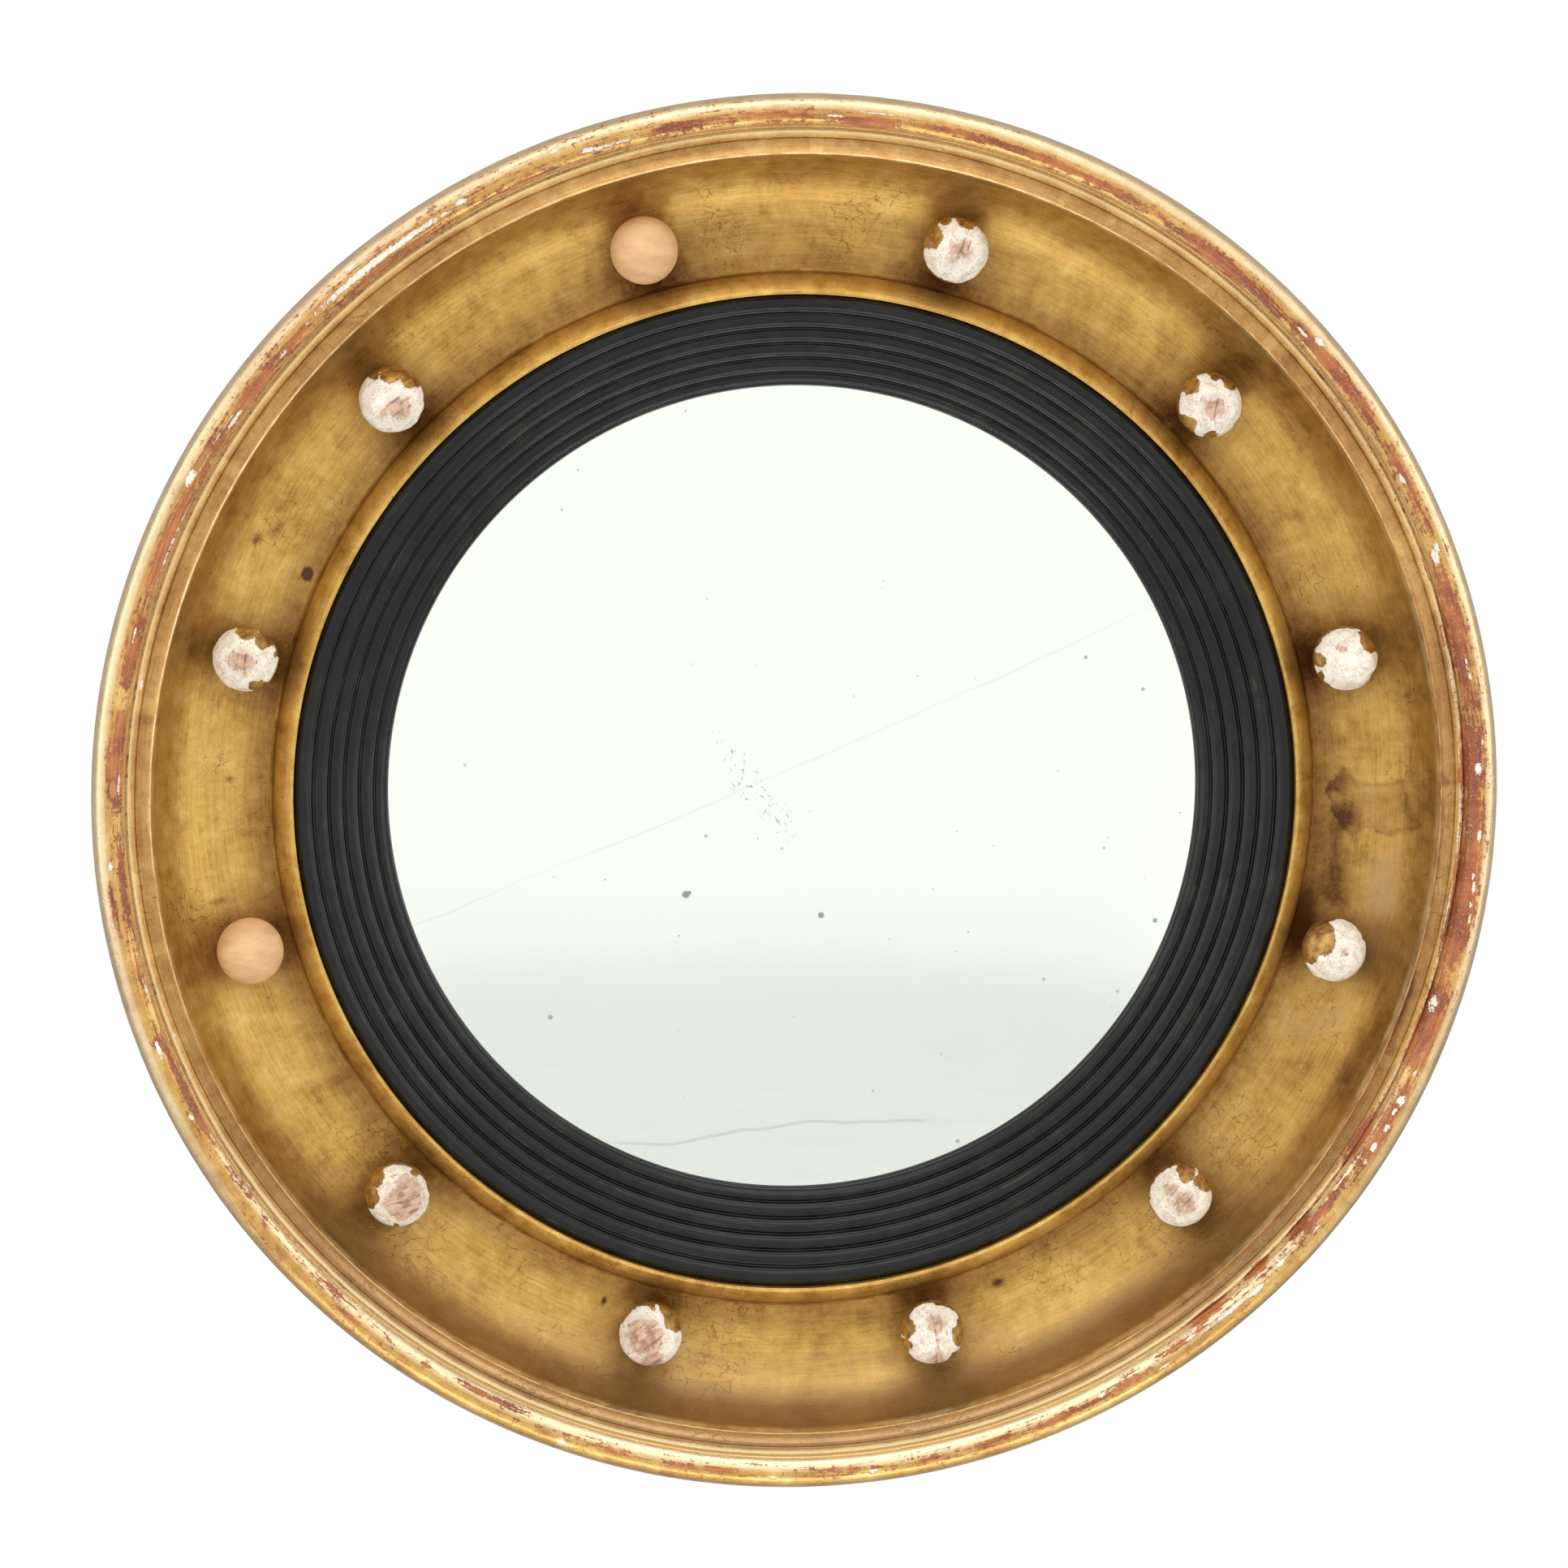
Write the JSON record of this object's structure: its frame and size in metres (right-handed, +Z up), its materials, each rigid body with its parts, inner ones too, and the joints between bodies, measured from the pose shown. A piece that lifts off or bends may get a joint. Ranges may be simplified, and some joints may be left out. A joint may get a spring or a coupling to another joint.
{
  "type": "convex wall mirror",
  "caption": "Round convex wall mirror: worn gilded frame with balls in a deep cove, an ebonised reeded slip round the glass, and a boarded back with swinging D-rings.",
  "frame": {"origin": "centre of the mirror in the wall plane, the plane of the frame's flat rear face", "axes": "the mirror faces -Y, +Y points into the wall, +Z is up as it hangs, +X is to the viewer's right"},
  "size_m": [0.536, 0.07, 0.536],
  "materials": {
    "gilded_frame": "worn gold leaf over red bole and gesso",
    "gilded_ball": "flaked gold leaf and gesso over bare wood",
    "bare_beech": "bare sanded beech",
    "ebonised_wood": "satin black over reeding, rubbed at the edges",
    "silvered_glass": "old silvering with dark foxing specks",
    "pine": "oxidised bare softwood",
    "dowel_wood": "bare beech dowel",
    "screw_steel": "darkened steel",
    "brad_steel": "darkened steel",
    "hanger_brass": "dulled brass"
  },
  "bodies": {
    "mirror": {"rim_ring": "gilded_frame", "back_ring": "pine", "ball_01": "gilded_ball", "ball_02": "gilded_ball", "ball_03": "gilded_ball", "ball_04": "bare_beech", "ball_05": "gilded_ball", "ball_06": "gilded_ball", "ball_07": "bare_beech", "ball_08": "gilded_ball", "ball_09": "gilded_ball", "ball_10": "gilded_ball", "ball_11": "gilded_ball", "ball_12": "gilded_ball", "ball_pegs": "dowel_wood", "slip": "ebonised_wood", "slip_brads": "brad_steel", "mirror_glass": "silvered_glass", "glass_blocks": "pine", "backboard_left": "pine", "backboard_middle": "pine", "backboard_right": "pine", "backboard_screws": "screw_steel", "hanger_screws": "screw_steel", "hanger_strap_left": "hanger_brass", "hanger_strap_right": "hanger_brass"},
    "ring_left": {"hanger_ring_left": "hanger_brass"},
    "ring_right": {"hanger_ring_right": "hanger_brass"}
  },
  "joints": [
    {"name": "right_ring_swing", "type": "hinge", "parent": "mirror", "child": "ring_right", "pos_m": [0.1722, -0.0032, 0.0803], "axis": [0.5, 0, 0.866], "range_deg": [0, 180]},
    {"name": "left_ring_swing", "type": "hinge", "parent": "mirror", "child": "ring_left", "pos_m": [-0.1722, -0.0032, 0.0803], "axis": [0.5, 0, -0.866], "range_deg": [0, 180]}
  ]
}
